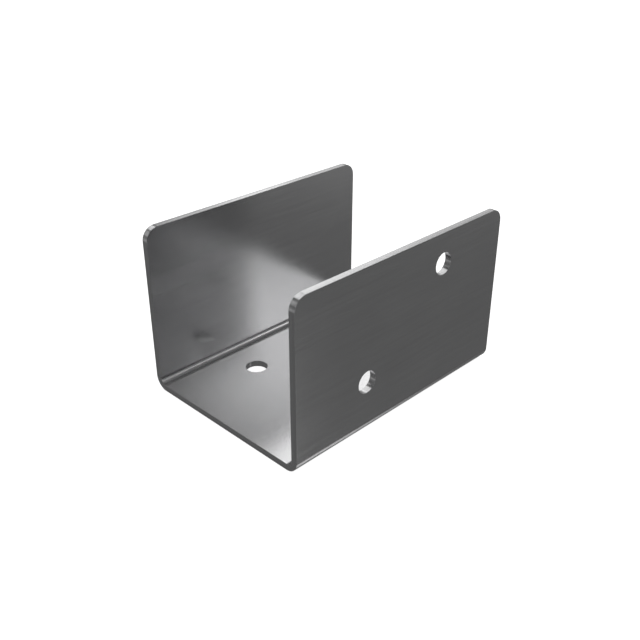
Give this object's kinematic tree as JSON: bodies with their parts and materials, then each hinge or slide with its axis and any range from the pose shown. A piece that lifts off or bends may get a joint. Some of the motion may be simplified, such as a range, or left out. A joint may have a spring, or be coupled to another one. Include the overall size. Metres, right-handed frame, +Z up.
{
  "type": "harness support bracket",
  "caption": "U-shaped channel bracket folded from sheet steel, with rounded free corners and bolt clearance holes on a diagonal through its base and a side wall.",
  "frame": {"origin": "centre of the underside of the base", "axes": "+X across the channel towards the wall with the holes, +Y along the folds, +Z up the walls"},
  "size_m": [0.06, 0.082, 0.0506],
  "materials": {
    "steel": "satin rolled sheet"
  },
  "bodies": {
    "root": {"bracket": "steel"}
  },
  "joints": []
}
